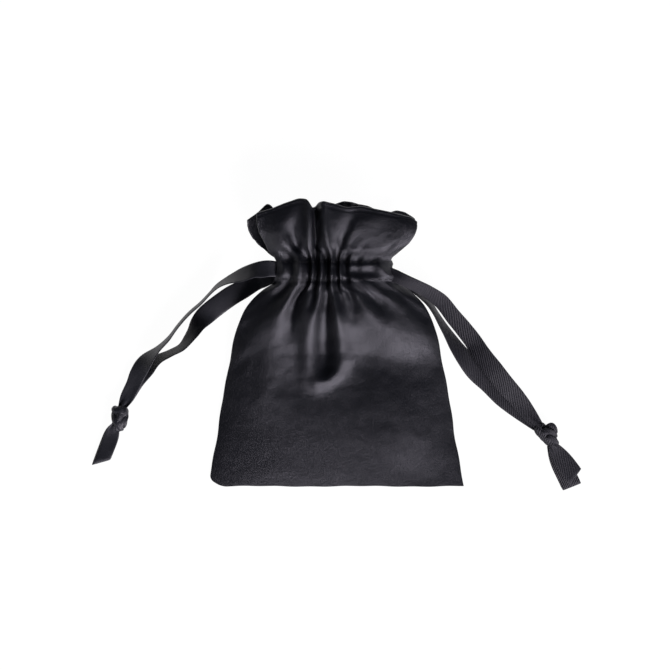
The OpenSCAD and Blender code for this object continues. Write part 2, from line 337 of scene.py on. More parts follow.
def finish_mesh(name, verts, faces, smooth, uvs, material, slots=None, normals=None):
    """A mesh object from points in millimetres, with one UV pair per point."""
    mesh = bpy.data.meshes.new(name)
    mesh.from_pydata((np.asarray(verts) * MM).tolist(), [], [tuple(int(i) for i in f) for f in faces])
    mesh.polygons.foreach_set("use_smooth", smooth)
    layer = mesh.uv_layers.new(name="UVMap")
    loops = np.empty(len(mesh.loops), np.int32)
    mesh.loops.foreach_get("vertex_index", loops)
    layer.data.foreach_set("uv", np.asarray(uvs, np.float32)[loops].ravel())
    for mat in material if isinstance(material, (list, tuple)) else [material]:
        mesh.materials.append(mat)
    if slots is not None:
        mesh.polygons.foreach_set("material_index", slots)
    mesh.update()
    if normals is not None:
        mesh.normals_split_custom_set_from_vertices(normals.tolist())
    obj = bpy.data.objects.new(name, mesh)
    bpy.context.scene.collection.objects.link(obj)
    return obj


def grid_quads(rows, cols, first, flip):
    """The faces of a grid of points, the first of which has the number first."""
    r, c = np.meshgrid(np.arange(rows - 1), np.arange(cols - 1), indexing="ij")
    a = (first + r * cols + c).ravel()
    quads = np.stack([a, a + 1, a + cols + 1, a + cols], 1)
    return quads[:, ::-1] if flip else quads


def boundary(rows, cols):
    """Indices round the edge of a grid, counterclockwise where rows run up and columns run right."""
    at = np.arange(rows * cols).reshape(rows, cols)
    return np.concatenate([at[0, :-1], at[:-1, -1], at[-1, :0:-1], at[:0:-1, 0]])


def shell(name, outer, inner, uv, material, flip=False, rounded=False, reverse_slot=0, normals=None):
    """A closed sheet between two grids of points. flip is for a grid whose outside faces down.
    A rounded rim bulges by half the thickness, and is smooth. normals are the outer grid's, for two
    shells that meet with no visible seam."""
    rows, cols = outer.shape[:2]
    count = rows * cols
    verts = [outer.reshape(-1, 3), inner.reshape(-1, 3)]
    uvs = [uv.reshape(-1, 2)] * 2
    top = grid_quads(rows, cols, 0, flip)
    low = grid_quads(rows, cols, count, not flip)
    loop = boundary(rows, cols)
    after = np.roll(loop, -1)
    if rounded:
        out, ins = verts[0][loop], verts[1][loop]
        rc = np.stack(np.unravel_index(loop, (rows, cols)), 1)
        inward = np.clip(rc, 1, [rows - 2, cols - 2])
        away = unit(out - outer[inward[:, 0], inward[:, 1]])
        thick = np.linalg.norm(out - ins, axis=1, keepdims=True)
        verts.append((out + ins) / 2 + away * thick * 0.5)
        uvs.append(uvs[0][loop])
        mid = 2 * count + np.arange(len(loop))
        mid_after = np.roll(mid, -1)
        rim = np.concatenate([np.stack([mid, mid_after, after, loop], 1),
                              np.stack([count + loop, count + after, mid_after, mid], 1)])
    else:
        rim = np.stack([count + loop, count + after, after, loop], 1)
    if flip:
        rim = rim[:, ::-1]
    faces = np.concatenate([top, low, rim])
    smooth = np.ones(len(faces), bool)
    smooth[len(top) + len(low):] = rounded
    slots = np.zeros(len(faces), np.int32)
    slots[len(top):len(top) + len(low)] = reverse_slot
    if normals is not None:
        spare = sum(len(v) for v in verts) - 2 * count
        normals = np.concatenate([normals.reshape(-1, 3), -normals.reshape(-1, 3), np.zeros((spare, 3))])
    return finish_mesh(name, np.concatenate(verts), faces, smooth, np.concatenate(uvs), material, slots,
                       normals)


def spline(points, steps):
    """Points of a Catmull-Rom curve through the given rows, steps to each stretch."""
    p = np.asarray(points, float)
    ext = np.concatenate([[2 * p[0] - p[1]], p, [2 * p[-1] - p[-2]]])
    out = []
    for i in range(len(p) - 1):
        a, b, c, d = ext[i:i + 4]
        for t in np.arange(steps) / steps:
            out.append(0.5 * (2 * b + (c - a) * t + (2 * a - 5 * b + 4 * c - d) * t ** 2
                              + (3 * b - a - 3 * c + d) * t ** 3))
    return np.array(out + [p[-1]])


def refine(grid, steps):
    """A finer grid of points through a coarse one, along both directions."""
    fine = spline(grid.reshape(len(grid), -1), steps).reshape(-1, *grid.shape[1:])
    fine = fine.swapaxes(0, 1)
    fine = spline(fine.reshape(len(fine), -1), steps).reshape(-1, *fine.shape[1:])
    return fine.swapaxes(0, 1)


def grid_normals(grid, outward):
    """Directions at right angles to the sheet, up for outward 1 and down for -1."""
    return outward * unit(np.cross(np.gradient(grid, axis=1), np.gradient(grid, axis=0)))


def relax(grid, times):
    """Evens out a grid of points, with its border left in place."""
    g = grid.copy()
    for _ in range(times):
        mean = (g[:-2, 1:-1] + g[2:, 1:-1] + g[1:-1, :-2] + g[1:-1, 2:]) / 4
        g[1:-1, 1:-1] += 0.5 * (mean - g[1:-1, 1:-1])
    return g


def tube(line, offsets):
    """Points and faces of a closed tube: a ring of points round each point of a line, at the offsets
    given for it, and a cap at each end."""
    n, ring = offsets.shape[:2]
    i, j = (v.ravel() for v in np.meshgrid(np.arange(n - 1), np.arange(ring), indexing="ij"))
    k = (j + 1) % ring
    quads = np.stack([i * ring + j, i * ring + k, (i + 1) * ring + k, (i + 1) * ring + j], 1)
    faces = [tuple(q) for q in quads] + [tuple(range(ring))[::-1], tuple(range((n - 1) * ring, n * ring))]
    return (line[:, None, :] + offsets).reshape(-1, 3), faces


def tube_uv(around, along):
    return np.stack(np.broadcast_arrays(around[None, :], along[:, None]), 2).reshape(-1, 2)


def make_tubes(name, tubes, material, smooth_caps):
    """One mesh of several tubes, each given as its points, faces and UVs."""
    verts, faces, uvs, first = [], [], [], 0
    for v, f, uv in tubes:
        verts.append(v)
        uvs.append(uv)
        faces += [tuple(first + i for i in face) for face in f]
        first += len(v)
    smooth = [smooth_caps or len(face) == 4 for face in faces]
    obj = finish_mesh(name, np.concatenate(verts), faces, smooth, np.concatenate(uvs), material)
    bm = bmesh.new()
    bm.from_mesh(obj.data)
    bmesh.ops.recalc_face_normals(bm, faces=bm.faces)
    bm.to_mesh(obj.data)
    bm.free()
    return obj


def random_field(x, y, cell, seed):
    """Smooth seeded noise from -1 to 1, with features about one cell wide."""
    rng = np.random.default_rng(seed)
    lattice = rng.uniform(-1, 1, (64, 64))
    gx, gy = x / cell + 32, y / cell + 32
    ix, iy = np.floor(gx).astype(int), np.floor(gy).astype(int)
    fx, fy = gx - ix, gy - iy
    fx, fy = fx * fx * (3 - 2 * fx), fy * fy * (3 - 2 * fy)
    at = lambda i, j: lattice[i % 64, j % 64]
    low = at(ix, iy) * (1 - fx) + at(ix + 1, iy) * fx
    high = at(ix, iy + 1) * (1 - fx) + at(ix + 1, iy + 1) * fx
    return low * (1 - fy) + high * fy


# ---------------------------------------------------------------- the cords

RIBBON_W, RIBBON_T = 6.0, 0.4

# Routes of the free strands in millimetres, as in the CAD model: x, y, z, roll in degrees, width.
ROUTES = {
    "left_upper_strand": [
        [-21.2, 24.75, 10, 0, 0.8], [-23, 24.2, 9.6, 10, 3.6], [-26, 23, 8.4, 30, 5], [-30, 21.5, 6.4, 50, 6],
        [-34, 20, 4.6, 68, 6], [-37, 18.4, 3.6, 76, 6], [-39.5, 16.1, 3.2, 80, 6], [-42.5, 13, 3.1, 80, 6],
        [-46, 10, 3.1, 80, 6], [-49.5, 6, 3.1, 80, 6], [-52.5, 2, 3.1, 78, 6], [-56, -1.5, 3, 70, 6],
        [-59.5, -5, 3.2, 40, 6], [-62, -9, 2, 12, 5], [-63.5, -12.5, 1.6, 4, 4.4], [-65.5, -16.5, 1.9, 0, 4],
        [-67, -19.6, 2.8, 0, 2.4]],
    "left_lower_strand": [
        [-21.2, 24.75, 1.8, 0, 0.8], [-22.5, 23, 1.8, 0, 3.6], [-25, 19.5, 1.4, 0, 4.6],
        [-29, 17.5, 0.8, 0, 5.6], [-33.5, 15, 0.5, 0, 6], [-39.5, 10.5, 0.5, 0, 6], [-43, 7, 1.8, 30, 6],
        [-45, 3.5, 2.6, 50, 6], [-48, -0.5, 3, 64, 6], [-51.5, -2.5, 3.1, 68, 6], [-55.5, -4.5, 3, 60, 6],
        [-59, -7, 1.8, 30, 6], [-62, -10.5, 0.8, 10, 5], [-63.5, -13, 0.5, 2, 4.4], [-65.5, -16.5, 0.8, 0, 4],
        [-67, -19.6, 1.8, 0, 2.4]],
    "left_upper_tail": [
        [-69, -25, 2.8, 0, 2.4], [-70, -27.5, 1.8, 4, 4.2], [-71, -30.5, 1.5, 8, 4.6],
        [-73.4, -36.4, 1.4, 8, 4.6]],
    "left_lower_tail": [
        [-69, -25, 1.6, 0, 2.4], [-70.2, -27.5, 0.9, 4, 4.2], [-71.4, -30.5, 0.6, 4, 4.6],
        [-73.8, -36.8, 0.5, 4, 4.6]],
    "right_upper_strand": [
        [21.2, 21.25, 10, 0, 0.8], [23, 20.8, 9.6, 20, 3.2], [26, 19.4, 8.2, 40, 4.4],
        [29.5, 16.8, 6.4, 46, 5.6], [33, 13.3, 4.8, 42, 6], [36.5, 9, 3.6, 38, 6], [39.5, 5.5, 3, 34, 6],
        [43, 1, 2.6, 30, 6], [46, -3.5, 3.4, 24, 6], [49.5, -8, 4, 20, 6], [53, -12.5, 3.6, 20, 6],
        [56.5, -16.5, 3, 20, 5.6], [60, -21, 2.6, 10, 4.6], [64.2, -26.2, 3, 0, 2.4]],
    "right_lower_strand": [
        [21.2, 21.25, 1.8, 0, 0.8], [22.6, 20.2, 1.8, -10, 2.8], [25.2, 17.6, 2.2, -40, 4.4],
        [28.5, 14, 2.8, -66, 5.6], [30.8, 10.5, 3.1, -72, 6], [32.8, 7, 3.1, -68, 6], [35, 3.5, 3, -60, 6],
        [37.5, -0.5, 2.6, -46, 6], [40.5, -4.5, 1.9, -30, 6], [44, -8.5, 1, -10, 6], [48, -12, 0.6, 0, 6],
        [52, -16, 0.6, 0, 6], [55.5, -19, 0.7, 0, 5.6], [59.5, -22.5, 1, 0, 4.4], [63.8, -26.5, 1.8, 0, 2.4]],
    "right_upper_tail": [
        [67.6, -31, 2.8, 0, 2.4], [69.2, -33.6, 2.2, -6, 4.6], [71.6, -36.8, 2, -10, 5.8],
        [74.9, -41.2, 2, -10, 6]],
    "right_lower_tail": [
        [67.2, -31.2, 1.6, 0, 2.4], [69, -34, 0.9, 4, 5], [70.9, -38, 0.7, 4, 6], [74, -44.4, 0.6, 4, 6]],
}
# Where each strand runs inside the casing and comes out of it. These points take the place of the route's
# first ones: the CAD strand starts as a thin lead outside, and the real ribbon is already wide inside.
# The part inside is long enough that a pulled cord shows ribbon all the way to the casing.
ROOTS = {
    "left_upper_strand": (2, [
        [-3, 24.5, 8.7, 0, 2.2], [-8, 24.4, 8.6, 0, 2.6], [-11, 24.2, 8.5, 0, 3.2], [-14, 23.7, 8.3, 0, 3.8],
        [-16.8, 23.4, 8.2, 0, 4.2], [-18.6, 23.6, 8.6, 4, 4.6], [-21, 23.7, 9.0, 8, 5.0],
        [-23.4, 23.4, 8.8, 14, 5.2]]),
    "left_lower_strand": (2, [
        [-3, 24.5, 4.3, 0, 2.2], [-8, 24.2, 4.4, 0, 2.6], [-11, 23.9, 4.4, 0, 3.2], [-14, 23.3, 4.5, 0, 3.8],
        [-16.8, 22.8, 4.6, 0, 4.2], [-18.6, 22.2, 4.2, 0, 4.6], [-21, 21.3, 3.4, 0, 4.8],
        [-23, 20.4, 2.4, 0, 4.8]]),
    "right_upper_strand": (4, [
        [3, 21.5, 8.7, 0, 2.2], [8, 21.8, 8.6, 0, 2.6], [11, 22.0, 8.5, 0, 3.0], [14, 22.2, 8.3, 0, 3.4],
        [16.2, 22.2, 8.3, 0, 3.7], [18, 21.6, 8.7, 4, 3.8], [20.2, 20.6, 9.2, 16, 3.8],
        [22.8, 19.3, 9.0, 30, 4.2], [25.8, 17.9, 8.0, 40, 4.8], [29.2, 16.1, 6.4, 45, 5.6]]),
    "right_lower_strand": (2, [
        [3, 21.5, 4.3, 0, 2.2], [8, 21.4, 4.4, 0, 2.6], [11, 21.6, 4.4, 0, 3.0], [14, 21.7, 4.5, 0, 3.4],
        [16.2, 21.5, 4.6, 0, 3.6], [18, 21.0, 4.3, 0, 3.8], [20.2, 20.0, 3.6, -10, 3.8],
        [22.6, 18.7, 2.8, -25, 4.0]]),
}
# How far each tail's cut end leans, in millimetres from one edge of the ribbon to the other.
CUT_SLANT = {"left_upper_tail": -3.2, "left_lower_tail": -3.4,
             "right_upper_tail": -1.6, "right_lower_tail": 0.4}


def route_of(name):
    skip, root = ROOTS.get(name, (0, []))
    return root + ROUTES[name][skip:]


RIBBON_COLUMNS = 17


def ribbon_grids(route, slant, seed, fold=1.0):
    """Upper and lower faces of a ribbon along a route, its UVs and its middle line. Where it is narrower
    than its cut width it is gathered into lengthwise folds, and its edges ripple a little."""
    line = spline(route, 7)
    pos, roll, width = line[:, :3], np.radians(line[:, 3]), np.clip(line[:, 4], 0.8, RIBBON_W)
    flat = unit(np.gradient(pos, axis=0)[:, :2])
    across = np.stack([-flat[:, 1] * np.cos(roll), flat[:, 0] * np.cos(roll), np.sin(roll)], 1)
    up = np.stack([flat[:, 1] * np.sin(roll), -flat[:, 0] * np.sin(roll), np.cos(roll)], 1)
    u, s = np.broadcast_arrays(np.linspace(-1, 1, RIBBON_COLUMNS)[None, :], distances(pos)[:, None])
    spare = fold * 0.55 * smoothstep(4.4, 2.0, width)[:, None]
    pleats = spare * np.cos(1.5 * pi * u + 0.35 * np.sin(s / 3 + seed))
    curl = 0.22 * np.sin(s / 9 + seed) * (u ** 2 - 0.4)
    ripple = 0.10 * random_field(s, 6 * u + 40 * seed, 4, 11 + seed) * u ** 2
    lift = pleats + curl + ripple
    mid = pos[:, None, :] + across[:, None, :] * (u * width[:, None] / 2)[:, :, None]
    end = np.clip((s - (s[-1] - 4)) / 4, 0, 1)
    mid[:, :, :2] += flat[:, None, :] * (end * u * slant / 2)[:, :, None]
    half_t = RIBBON_T / 2 * (1 - 0.35 * np.abs(u) ** 6)
    upper = mid + up[:, None, :] * (lift + half_t)[:, :, None]
    lower = mid + up[:, None, :] * (lift - half_t)[:, :, None]
    return upper, lower, np.stack([u * RIBBON_W / 20, s / 10], 2), pos


def make_ribbon(name, face_up, materials, **options):
    """A ribbon with its satin face up or down, lifted where it would go under the table."""
    upper, lower, uv, pos = ribbon_grids(route_of(name), slant=CUT_SLANT.get(name, 0), **options)
    sink = np.minimum(0, lower[:, :, 2].min(axis=1) - 0.02)[:, None]
    upper[:, :, 2] -= sink
    lower[:, :, 2] -= sink
    order = materials if face_up else materials[::-1]
    obj = shell(name + "_ribbon", upper, lower, uv, order, flip=True, rounded=True, reverse_slot=1)
    return piece(obj, name), pos


LOOP_END = 4.5  # how far past the middle of the casing each run of a loop goes before it opens
LOOP_TURN = 15.2  # where the loop turns round the neck
LOOP_FRONT, LOOP_BACK = 8.1, 4.4  # heights of its two runs


def loop_route(side, lane):
    """The crushed part of a cord in the casing: front run, bight round the neck, back run."""
    front, back = [], []
    for i, x in enumerate(np.arange(-LOOP_END, LOOP_TURN - 1, 2)):
        wobble = 0.12 * sin(0.9 * i + side)
        front.append([side * x, lane + wobble, LOOP_FRONT])
        back.append([side * x, lane - wobble, LOOP_BACK])
    mid, half = (LOOP_FRONT + LOOP_BACK) / 2, (LOOP_FRONT - LOOP_BACK) / 2
    bight = [[side * (LOOP_TURN + 2.2 * cos(a)), lane, mid + half * sin(a)]
             for a in np.linspace(pi / 2, -pi / 2, 9)]
    return np.array(front + bight + back[::-1])


def make_loop(node, side, material):
    """The loop's section is a crushed ribbon: a flat oval with folds pressed into it."""
    low, high = (corner[1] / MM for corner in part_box(node))
    line = spline(loop_route(side, (low + high) / 2), 4)
    across = np.array([0.0, 1.0, 0.0])
    up = unit(np.cross(unit(np.gradient(line, axis=0)), across))
    s = distances(line)
    a = np.linspace(0, 2 * pi, 28, endpoint=False)
    folds = 0.14 * np.cos(5 * a + 0.5 * np.sin(s / 2.5)[:, None]) * np.abs(np.sin(a))
    height = 0.34 * np.sign(np.sin(a)) * np.abs(np.sin(a)) ** 0.6 + folds
    width = (high - low) / 2 * np.cos(a)
    verts, faces = tube(line, across * width[None, :, None] + up[:, None, :] * height[:, :, None])
    uv = tube_uv(a * 0.6 / (2 * pi), s / 10)
    return piece(make_tubes(node + "_ribbon", [(verts, faces, uv)], material, False), node)


# The parts of each knot in millimetres from its centre: (route, flatness), a route's points being x, y, z
# and half width. Each part is a crushed ribbon. The first is the knot's core, under the turns.
KNOTS = {
    "left": [
        ([[1.2, 3.9, .1, 1.5], [.7, 2.4, .1, 2.0], [.1, .6, 0, 2.2], [-.3, -1.4, 0, 2.1],
          [-.8, -3.0, -.3, 1.6], [-1.2, -4.4, -.6, 1.3]], 0.86),
        ([[-1.7, 3.7, -.2, .8], [-1.5, 2.7, .9, 1.1], [-.7, 2.2, 1.2, 1.2], [.5, 1.9, 1.2, 1.1],
          [1.6, 1.3, .6, 1.0], [1.9, .5, -.8, .8]], 0.6),
        ([[-1.8, 2.4, -.8, .9], [-1.6, .6, .6, 1.1], [-1.2, -.8, 1.1, 1.2], [-.5, -2.0, 1.2, 1.1],
          [.2, -3.3, .6, 1.0], [.3, -4.1, -.4, .8]], 0.6),
        ([[1.8, 1.3, -.6, .9], [1.6, .2, .7, 1.1], [1.3, -1.0, 1.0, 1.1], [1.1, -2.2, .6, 1.0],
          [.7, -3.1, -.4, .8]], 0.6),
    ],
    "right": [
        ([[-3.6, 3.6, .2, 1.5], [-2.2, 2.0, .1, 2.0], [-.3, .2, 0, 2.2], [1.2, -1.8, 0, 1.9],
          [2.2, -3.6, -.3, 1.5]], 0.66),
        ([[-.4, 1.8, .2, .8], [.2, 2.6, .7, .9], [1.1, 3.0, .9, .9], [1.8, 2.4, .8, .9], [2.2, 1.3, .5, .9],
          [2.2, .2, 0, .9]], 0.6),
        ([[-2.6, -.2, -.8, .7], [-1.9, .7, .8, 1.0], [-.6, 1.2, 1.5, 1.1], [.9, .9, 1.4, 1.0],
          [2.1, -.1, .4, .9], [2.6, -1.0, -.8, .7]], 0.55),
        ([[-1.3, -.8, -.6, .7], [-.2, -.6, 1.2, .9], [1.2, -1.1, 1.3, 1.0], [2.5, -2.2, .7, .9],
          [3.1, -3.1, -.5, .7]], 0.55),
    ],
}
KNOT_CENTRES = {"left": (-67.6, -22.8), "right": (66.3, -28.2)}


def crushed_run(route, flatness, seed):
    """A tube along a route whose section is a squashed ribbon with lengthwise folds."""
    line = spline(route, 8)
    pos, half = line[:, :3], np.clip(line[:, 3], 0.3, None)
    step = unit(np.gradient(pos, axis=0))
    across = unit(np.cross(step, [0.0, 0.0, 1.0]))
    up = np.cross(across, step)
    s = distances(pos)
    closing = np.sqrt(np.clip(1 - (2 * s / s[-1] - 1) ** 8, 0.03, 1))
    a = np.linspace(0, 2 * pi, 26, endpoint=False)
    fold = 1 + 0.10 * np.cos(5 * a + 0.9 * np.sin(1.3 * s + seed)[:, None]) + 0.05 * np.cos(9 * a + seed)
    size = (half * closing)[:, None] * fold
    verts, faces = tube(pos, across[:, None, :] * (size * np.cos(a))[:, :, None]
                        + up[:, None, :] * (size * np.sin(a) * flatness)[:, :, None])
    return verts, faces, tube_uv(a * 0.6 / (2 * pi), s / 10)


def make_knot(side, material):
    """An overhand knot pulled tight: a crushed core, the turns over it and a small fold that sticks out."""
    node = side + "_knot"
    low, high = (corner[2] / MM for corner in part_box(node))
    centre = np.array([*KNOT_CENTRES[side], (low + high) / 2 - 0.4])
    tubes = []
    for seed, (route, flatness) in enumerate(KNOTS[side]):
        verts, faces, uv = crushed_run(route, flatness, seed)
        verts = verts + centre
        verts[:, 2] = np.maximum(verts[:, 2], 0.05)
        tubes.append((verts, faces, uv))
    return piece(make_tubes(node + "_ribbon", tubes, material, False), node)


def make_cords():
    face = ribbon_face_material()
    reverse = ribbon_reverse_material()
    for side, hand, face_up in (("left", -1, True), ("right", 1, False)):
        cord, end = side + "_cord", side + "_free_end"
        # Each cord comes out on its own side and turns round the neck on the other.
        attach(make_loop(side + "_cord_loop", -hand, face), cord)
        knot = make_knot(side, face if face_up else reverse)
        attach(knot, end)
        for level in ("upper", "lower"):
            tail, _ = make_ribbon(f"{side}_{level}_tail", face_up, [face, reverse], seed=3 + hand, fold=0.8)
            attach(tail, end)
        for k, level in enumerate(("upper", "lower")):
            name = f"{side}_{level}_strand"
            strand, line = make_ribbon(name, face_up, [face, reverse], seed=2 * k + hand)
            line = line * MM
            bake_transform(strand)


# ---------------------------------------------------------------- the cut and the folds of the cloth

LOW, UP = (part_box("front_casing")[k][1] / MM for k in (0, 1))  # the two lines where the casing is sewn
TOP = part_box("front_frill")[1][1] / MM
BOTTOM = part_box("front_panel")[0][1] / MM
BODY_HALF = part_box("front_panel")[1][0] / MM
NECK_HALF = 20.0  # half width of the body where the casing starts
SHOULDER = 9.6  # how much each side gains in the round shoulder under the casing
SHOULDER_SHARE = 0.0886  # how soon it does, as a share of the body's length
NECK_H = 11.6  # height of the casing's front under its pleats
BACK_H = 1.5  # height of the casing's back
SEAM_H = 6.4  # height of the casing's two ends
FRILL_RISE = 4.6  # how far the front of the frill stands up from the casing to its edge
BACK_PLEATS = 0.75  # height of the back's pleats, as a share of the front's

COLUMNS = 113
BODY_ROWS, CASING_ROWS, FRILL_ROWS = 61, 9, 20
ROWS = BODY_ROWS + CASING_ROWS + FRILL_ROWS
FOLD_ROW, STITCH_ROW = BODY_ROWS - 1, BODY_ROWS - 1 + CASING_ROWS  # where the casing starts and ends
BODY_FLAT, CASING_FLAT, FRILL_FLAT = 66.5, 9.6, 19.0  # lengths of the flat cut

# Folds of the front. Each is a ridge (height above 0) or a valley along a line of points
# (x, y, half width, height). A sharp one has a creased middle.
BODY_FOLDS = [
    # the deep valley in the middle, with a ridge on each side and a raised rim round its lower end
    ("round", [(-2.7, 20, .8, -1.3), (-2.4, 16.5, 1.0, -1.9), (-2.9, 12.5, 1.6, -2.8), (-3.4, 7, 2.3, -3.4),
               (-3.6, 1, 2.9, -3.4), (-3.6, -4, 3.0, -2.8), (-3.6, -8, 2.6, -1.6), (-3.8, -11, 2.0, 0)]),
    ("round", [(-4.4, 20, .9, 1.2), (-5.6, 14, 1.2, 1.2), (-7.2, 7.8, 1.8, 1.0), (-8.4, 1.6, 2.6, 1.0),
               (-8.4, -6.2, 3, 1.0), (-7.4, -12, 3, .8), (-6.8, -15, 3, 0)]),
    ("round", [(-5.6, -12.4, 2.0, .8), (-2.5, -11.2, 2.0, 1.1), (.6, -8.6, 2.0, 1.1), (2.8, -5, 2.2, .8),
               (4, -1.5, 2.4, .3)]),
    ("round", [(-1.6, 20, .9, 1.3), (-.9, 14, 1.2, 1.5), (.6, 6.3, 1.8, 1.2), (1.6, 0, 2.2, 1.1),
               (1.6, -5, 2.4, .5)]),
    ("round", [(-3.0, 3, 7, .6), (-3.4, -4, 8, 1.3), (-3.4, -9, 7, 1.0), (-3.4, -13, 6, .1)]),
    # a broad swell of the lower right
    ("round", [(20, -42, 13, .6), (21, -28, 13, 1.4), (21, -14, 13, 1.4), (21, -4, 12, .5)]),
    # left of it
    ("sharp", [(-8.3, 20, .8, -1.2), (-10.3, 17.2, 1.0, -1.5), (-12.5, 14, 1.5, -1.9),
               (-13.8, 10.3, 2.0, -1.8), (-14.2, 4.7, 2.6, -1.0), (-14.2, 0, 3, 0)]),
    ("round", [(-10.9, 20, 1.0, 1.3), (-14.0, 15.6, 1.4, 1.5), (-16.9, 10.3, 2.2, 1.6),
               (-18.4, 4.7, 3.2, 1.1), (-19, 0, 4, .3)]),
    ("round", [(-7.4, 20, .8, .9), (-8.6, 15.6, 1.2, 1.0), (-9.6, 11, 1.8, 1.0), (-10.3, 4.7, 2.2, .3)]),
    ("round", [(-5.9, 20, .7, -1.3), (-6.6, 16, .8, -1.0), (-7.4, 12, 1.2, -.3)]),
    ("round", [(-14.5, 17.5, 1.4, .5), (-19, 12, 2.2, .8), (-23, 7.8, 2.8, .8), (-27.5, .6, 3.4, .2)]),
    ("round", [(-14.2, 19, 1.2, -1.1), (-18.6, 14, 2.0, -.8), (-23, 11.5, 2.4, -.4)]),
    # right of it
    ("round", [(.5, 20, .8, -1.1), (1.6, 15, 1.2, -.9), (3.0, 11, 1.6, -.4), (4.0, 7, 2, 0)]),
    ("round", [(1.1, 20, .6, .5), (2.6, 16, 1.0, .7), (3.9, 12, 1.4, .4), (4.4, 8, 1.8, 0)]),
    ("sharp", [(3.0, 20, .8, -1.1), (4.2, 16, 1.2, -1.1), (5.4, 12, 1.8, -1.2), (5.8, 8, 2.4, -.6),
               (5.8, 5, 2.6, 0)]),
    ("round", [(4.8, 20, .9, .8), (6.9, 14.7, 1.4, .9), (9.4, 11, 2.0, .8), (10.8, 8, 2.6, .3),
               (11, 5, 3, 0)]),
    ("sharp", [(6.8, 20, .9, -.6), (10.5, 16, 1.4, -.9), (13.2, 12.6, 2.0, -.9), (14.8, 9.6, 2.6, -.4),
               (15.4, 7, 3, 0)]),
    ("round", [(9.2, 20, 1.0, .7), (15.3, 16.3, 1.6, .9), (19.2, 13, 2.2, .6), (21.4, 10, 2.8, 0)]),
    ("round", [(12, 20, 1.2, -.5), (18.5, 16.8, 1.6, -.7), (23, 13.2, 2.0, -.4), (25, 10, 2.4, 0)]),
    ("round", [(15.5, 20, 1.4, .4), (22.5, 16, 1.6, .5), (26, 11.5, 2.0, .2), (27.5, 8, 2.4, 0)]),
]
FRILL_FOLDS = [
    ("sharp", [(-6.1, 26, .7, -1.6), (-6.2, 30, .9, -3.0), (-6.3, 38, 1.1, -3.6), (-6.6, 46, 1.3, -3.8)]),
    ("round", [(-7.9, 27, .9, 1.0), (-8.2, 33, 1.6, 1.4), (-8.4, 40, 1.8, 1.3), (-8.6, 46, 1.8, 1.0)]),
    ("round", [(-11.4, 26, 1.0, -1.4), (-12.2, 31, 1.4, -1.6), (-14.2, 35.3, 1.8, -1.0), (-15, 39, 2, 0)]),
    ("round", [(-14.6, 27, 1.6, .9), (-16.3, 31, 2.6, 1.3), (-17.8, 36, 3.4, .9), (-19, 42, 4, .3)]),
    ("round", [(-20.5, 28, 1.6, -.7), (-22.5, 34, 2, -.6), (-23.5, 40, 2.4, -.3)]),
    ("round", [(-1.8, 27, 1.0, 1.3), (-3.0, 32.5, 1.4, 1.6), (-4.2, 40, 1.6, 1.2), (-4.6, 46, 1.6, 1.0)]),
    ("round", [(.8, 26.5, .9, -1.5), (1.7, 33, 1.6, -1.5), (4.4, 40, 2.4, -1.0), (5.5, 45, 3, -.5)]),
    ("round", [(4.0, 28.8, .8, .6), (7, 28.2, .9, .5), (11, 28.6, .8, .5)]),
    ("round", [(13.4, 27, .9, -.8), (15, 29, 1.3, -.6), (17, 31.5, 1.8, -.2)]),
    ("round", [(17, 27.5, 1.2, .5), (20, 33, 2.4, .5), (22, 38, 3, .2)]),
]
# Height of the middle of the body's front, and of its side seams, by y.
CROWN = [(-44.4, .9), (-40, 1.7), (-30, 3.0), (-20, 3.9), (-12, 4.4), (-7, 4.8), (-3, 5.7), (.5, 7.2),
         (4, 8.9), (7, 10.2), (9.5, 10.8), (14, 11.1), (18.8, 11.4)]
SIDE = [(-44.4, .5), (-20, .9), (-5, 2.2), (5, 3.6), (12, 5.0), (18.8, 6.4)]
# Ridges and valleys of the casing, (x, height).
CASING_PLEATS = [
    (-18.6, 0), (-16.8, .3), (-13.9, -1.2), (-11.1, 1.5), (-8.3, -1.4), (-7.3, .7), (-5.9, -1.4), (-4.6, 1.2),
    (-2.8, -1.5), (-1.5, 1.5), (.5, -1.3), (1.2, .6), (3.0, -1.2), (4.8, .6), (6.8, -.2), (9.2, .4),
    (12, -.3), (15, .2), (17, 0), (18.4, 0)]
# Folds that cross the front of the casing at its smooth right end.
CASING_FOLDS = [
    ("round", [(3.6, 24.0, .5, .1), (6, 24.9, .6, .2), (9, 24.3, .6, .3), (11, 25.3, .6, .4),
               (14, 26.2, .8, .3)]),
    ("round", [(11.8, 25.0, .6, .3), (14, 23.8, .7, .7), (16.4, 22.0, .8, .7), (19, 21.0, 1.0, .5)]),
    ("round", [(4.6, 22.4, 1.2, -.7), (8, 22.4, 1.5, -1.0), (12, 22.2, 1.5, -.9), (14, 21.6, 1.2, -.5)]),
    ("round", [(4.4, 20.6, .7, .5), (5.8, 20.7, .8, .8), (7.2, 20.4, .7, .2)]),
    ("round", [(13.2, 19.7, .7, .4), (14.8, 19.6, .8, .7), (16.2, 19.2, .7, .2)]),
    ("round", [(-12.6, 21, 1.0, .3), (-12.0, 24.4, 1.2, .7), (-11.0, 26.6, 1.2, .7), (-10.4, 28.4, 1.0, .2)]),
    ("round", [(-1.0, 25.6, .8, .6), (-.2, 23.8, .9, -.5), (-1.2, 21.3, .8, .6)]),
]


def waves(x, table):
    """A rounded zigzag through ridges and valleys."""
    xs, heights = np.array(table).T
    i = np.clip(np.searchsorted(xs, x) - 1, 0, len(xs) - 2)
    f = smoothstep(0, 1, (x - xs[i]) / (xs[i + 1] - xs[i]))
    return heights[i] * (1 - f) + heights[i + 1] * f


